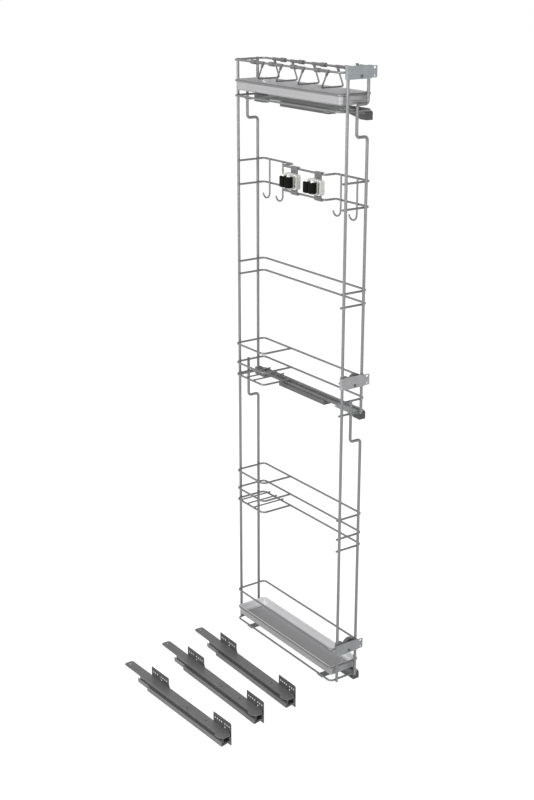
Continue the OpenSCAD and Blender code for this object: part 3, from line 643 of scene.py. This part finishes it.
def shape_tree(name, sizes):
    """An empty geometry tree with named size inputs; returns it with its input and output nodes."""
    tree = bpy.data.node_groups.new(name, "GeometryNodeTree")
    tree.interface.new_socket("Places", in_out="INPUT", socket_type="NodeSocketGeometry")
    for kind, label, default in sizes:
        tree.interface.new_socket(label, in_out="INPUT", socket_type=kind).default_value = default
    tree.interface.new_socket("Pieces", in_out="OUTPUT", socket_type="NodeSocketGeometry")
    return tree, add(tree, "NodeGroupInput").outputs, add(tree, "NodeGroupOutput")


def settle(tree, out, given, shape, material, seed, least, most):
    """Puts shape on every place, turned as given and varied in size, and ends the tree."""
    vary = add(tree, "FunctionNodeRandomValue", data_type="FLOAT")
    feed(tree, vary, {2: least, 3: most, 8: seed})
    spread = add(tree, "GeometryNodeInstanceOnPoints")
    feed(tree, spread, {"Points": given["Places"], "Instance": shape,
                        "Rotation": given["Facing"], "Scale": vary.outputs[1]})
    real = add(tree, "GeometryNodeRealizeInstances")
    feed(tree, real, {0: spread.outputs[0]})
    finish = add(tree, "GeometryNodeSetMaterial")
    feed(tree, finish, {"Geometry": real.outputs[0], "Material": material})
    feed(tree, out, {"Pieces": finish.outputs[0]})


def weld_tree():
    """Flash of a resistance weld between two crossed wires."""
    tree, given, out = shape_tree("weld_flash", [
        (VECTOR, "Size", (0.0036, 0.0014, 0.0032)), (VECTOR, "Facing", (0, 0, 0)),
    ])
    blob = add(tree, "GeometryNodeMeshIcoSphere")
    feed(tree, blob, {"Radius": 1.0, "Subdivisions": 2})
    sized = add(tree, "GeometryNodeTransform")
    feed(tree, sized, {"Geometry": blob.outputs[0], "Scale": given["Size"]})
    smooth = add(tree, "GeometryNodeSetShadeSmooth")
    feed(tree, smooth, {"Geometry": sized.outputs[0]})
    settle(tree, out, given, smooth.outputs[0], WIRE_COAT, seed=7, least=0.8, most=1.15)
    return tree


DOME_SHARE = 0.82
FLANGE_SHARE = 0.5


def domed_head_tree(name, material):
    """Low domed head of a screw or rivet with a flange, its axis along Z before it is turned."""
    tree, given, out = shape_tree(name, [
        (FLOAT, "Head radius", 0.0034), (FLOAT, "Head height", 0.0016),
        (VECTOR, "Facing", (0, 0, 0)),
    ])
    flange = add(tree, "GeometryNodeMeshCylinder")
    feed(tree, flange, {"Vertices": 28, "Radius": given["Head radius"],
                        "Depth": maths(tree, "MULTIPLY", given["Head height"], FLANGE_SHARE)})
    dome = add(tree, "GeometryNodeMeshUVSphere")
    feed(tree, dome, {"Segments": 28, "Rings": 10, "Radius": 1.0})
    across = maths(tree, "MULTIPLY", given["Head radius"], DOME_SHARE)
    size = add(tree, "ShaderNodeCombineXYZ")
    feed(tree, size, {0: across, 1: across, 2: given["Head height"]})
    domed = add(tree, "GeometryNodeTransform")
    feed(tree, domed, {"Geometry": dome.outputs[0], "Scale": size.outputs[0]})
    both = add(tree, "GeometryNodeJoinGeometry")
    tree.links.new(flange.outputs[0], both.inputs[0])
    tree.links.new(domed.outputs[0], both.inputs[0])
    settle(tree, out, given, both.outputs[0], material, seed=3, least=1.0, most=1.0)
    return tree


def grown(name, places, tree, body, slot, **sizes):
    """Runs a geometry tree on a list of places and keeps the result as a plain piece."""
    seed_mesh = bpy.data.meshes.new(name + "_places")
    seed_mesh.from_pydata(places, [], [])
    source = bpy.data.objects.new(name + "_source", seed_mesh)
    bpy.context.scene.collection.objects.link(source)
    maker = source.modifiers.new("maker", "NODES")
    maker.node_group = tree
    labels = {item.name: item.identifier
              for item in tree.interface.items_tree if item.in_out == "INPUT"}
    for label, value in sizes.items():
        maker[labels[label.replace("_", " ")]] = value
    ready = source.evaluated_get(bpy.context.evaluated_depsgraph_get())
    mesh = bpy.data.meshes.new_from_object(ready)
    mesh.name = name
    bpy.data.objects.remove(source)
    return new_piece(name, mesh, body)


def upright_crossings():
    """Where a level wire touches an upright, in front and at the back."""
    heights = wire_heights()
    low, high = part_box("near_uprights")
    near = low[0] + POST_R
    upper_low, upper_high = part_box("far_uprights_upper")
    straight, jogged = upper_high[0] - POST_R, upper_low[0] + POST_R
    columns = {
        "top_floor_ring": (near, jogged),
        "middle_shelf_wires": (near, straight),
        "lower_shelf_wires": (near, straight),
    }
    places = []
    for level, wires in heights.items():
        for z in wires:
            for x in columns.get(level, (near, straight)):
                places += [(x, FRONT_Y - WIRE_R, z), (x, FRONT_Y + LEVEL_D + WIRE_R, z)]
    for z in heights["middle_shelf_wires"][:2]:
        places += [(jogged, FRONT_Y - WIRE_R, z), (jogged, FRONT_Y + LEVEL_D + WIRE_R, z)]
    return places


FLOOR_WIRES = (0.026, 0.060, 0.094)
HOOKS = (0.043, 0.111, 0.372, 0.435)
GRIP_PLATE_W = 0.030
GRIP_SCREW_Z = 0.0253
SCREW_PROUD = 0.0002
RUNNER_CORNERS = ((-0.4262, -0.0806), (-0.2936, -0.0412), (-0.1747, -0.0254))
RUNNER_TURNS = (2.85, 0.9, 0.0)
RUNNER_TOP_Z = 0.0399
RIVETS_ON_PLATE = ((0.0195, 0.097), (0.0145, 0.180))


def shelf_crossings():
    """Where the small floor wires lie on a shelf's lowest wire."""
    return [at(x, LEVEL_D - back, wire_heights()[shelf][0] + WIRE_R)
            for shelf in ("middle_shelf_wires", "lower_shelf_wires")
            for back in FLOOR_WIRES for x in (0.0, LEVEL_W)]


def hook_crossings():
    return [at(LEVEL_W - WIRE_R, place, z) for place in HOOKS for z in wire_heights()["hook_rails"]]


def grip_screw_places():
    """Two screws a grip, through the zinc plate above and below the plastic body."""
    low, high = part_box("grip_plates")
    middle = (low[2] + high[2]) / 2
    places = []
    for y in (low[1] + GRIP_PLATE_W / 2, high[1] - GRIP_PLATE_W / 2):
        places += [(low[0] - SCREW_PROUD, y, middle + side * GRIP_SCREW_Z) for side in (-1, 1)]
    return places


def runner_rivet_places(number):
    """Places of the two rivets in a runner's top plate."""
    angle = math.radians(RUNNER_TURNS[number - 1])
    x, y = RUNNER_CORNERS[number - 1]
    places = []
    for across, along in RIVETS_ON_PLATE:
        places.append(at(x + across * math.cos(angle) - along * math.sin(angle),
                         y + across * math.sin(angle) + along * math.cos(angle), RUNNER_TOP_Z))
    return places


pressed_tray("pressed_top_tray", "top_tray", "top_tray_ring")
pressed_tray("pressed_base_tray", "bottom_tray", "base_tray_ring")
for number in (1, 2, 3, 4):
    divider_bow(number)
WELDS = weld_tree()
grown("weld_flash_uprights", upright_crossings(), WELDS, "frame", "wire_coating")
grown("weld_flash_shelves", shelf_crossings(), WELDS, "frame", "wire_coating",
      Size=(0.0026, 0.0026, 0.0013))
grown("weld_flash_hooks", hook_crossings(), WELDS, "frame", "wire_coating",
      Size=(0.0013, 0.0028, 0.0028))
grown("grip_screws", grip_screw_places(), domed_head_tree("pan_screw", SCREW_METAL), "frame",
      "screw_steel", Head_radius=0.0033, Head_height=0.0016, Facing=(0.0, -math.pi / 2, 0.0))
RIVETS = domed_head_tree("dark_rivet", DARK_RIVET)
for number in (1, 2, 3):
    grown(f"runner_rivets_{number}", runner_rivet_places(number), RIVETS, f"runner_{number}_top",
          "runner_steel", Head_radius=0.0024, Head_height=0.0006)


# ---------- stage ----------

FLOOR_SIZE = 60.0
FLOOR_TONE = 0.35
FLOOR_GLOW = 0.9
HORIZON = 1.0
ZENITH = 0.4
SKY_FADE = (0.15, 0.9)
SKY_ON_OBJECT = 0.55


def own_light(tree, strength):
    """Emission that only the camera, gloss and glass see, so it puts no light on the object."""
    path = add(tree, "ShaderNodeLightPath").outputs
    seen = maths(tree, "MAXIMUM", path["Is Camera Ray"],
                 maths(tree, "MAXIMUM", path["Is Glossy Ray"], path["Is Transmission Ray"]))
    glow = add(tree, "ShaderNodeEmission")
    feed(tree, glow, {"Color": (1, 1, 1, 1), "Strength": maths(tree, "MULTIPLY", seen, strength)})
    return glow.outputs[0]


def make_floor():
    mesh = bpy.data.meshes.new("floor")
    half = FLOOR_SIZE / 2
    mesh.from_pydata([(-half, -half, 0), (half, -half, 0), (half, half, 0), (-half, half, 0)],
                     [], [(0, 1, 2, 3)])
    floor = bpy.data.objects.new("floor", mesh)
    material = bpy.data.materials.new("pale_floor")
    material.use_nodes = True
    tree = material.node_tree
    tree.nodes.remove(tree.nodes["Principled BSDF"])
    matt = add(tree, "ShaderNodeBsdfDiffuse")
    feed(tree, matt, {"Color": (FLOOR_TONE, FLOOR_TONE, FLOOR_TONE, 1)})
    both = add(tree, "ShaderNodeAddShader")
    feed(tree, both, {0: matt.outputs[0], 1: own_light(tree, FLOOR_GLOW)})
    feed(tree, tree.nodes["Material Output"], {"Surface": both.outputs[0]})
    mesh.materials.append(material)
    bpy.context.scene.collection.objects.link(floor)


def make_world():
    """White round the horizon and darker overhead; only the light on the object is toned down."""
    world = bpy.data.worlds.new("studio")
    bpy.context.scene.world = world
    world.use_nodes = True
    tree = world.node_tree
    path = add(tree, "ShaderNodeLightPath").outputs
    seen = maths(tree, "MAXIMUM", path["Is Glossy Ray"], path["Is Transmission Ray"])
    direction = split(tree, add(tree, "ShaderNodeTexCoord").outputs["Generated"])
    sky = remap(tree, direction["Z"], *SKY_FADE, HORIZON, ZENITH)
    lit = maths(tree, "MULTIPLY", sky, remap(tree, seen, 0.0, 1.0, SKY_ON_OBJECT, 1.0))
    strength = maths(tree, "MAXIMUM", lit, path["Is Camera Ray"])
    feed(tree, tree.nodes["Background"], {"Color": (1, 1, 1, 1), "Strength": strength})


def make_lamp(name, place, aim, size, power):
    data = bpy.data.lights.new(name, "AREA")
    data.shape = "RECTANGLE"
    data.size, data.size_y = size
    data.energy = power
    lamp = bpy.data.objects.new(name, data)
    lamp.location = place
    toward = Vector(aim) - Vector(place)
    lamp.rotation_euler = toward.to_track_quat("-Z", "Y").to_euler()
    bpy.context.scene.collection.objects.link(lamp)


def light_studio():
    middle = (0, 0, 0.9)
    make_lamp("key_left", (-4.0, -0.6, 2.4), middle, (2.5, 3.0), 150)
    make_lamp("fill_front", (-0.6, -4.6, 1.8), middle, (3.0, 3.0), 60)
    make_lamp("top_soft", (-0.5, 0.3, 4.4), middle, (3.0, 3.0), 30)


make_camera()
make_world()
make_floor()
light_studio()
bpy.context.scene.view_settings.view_transform = "Standard"
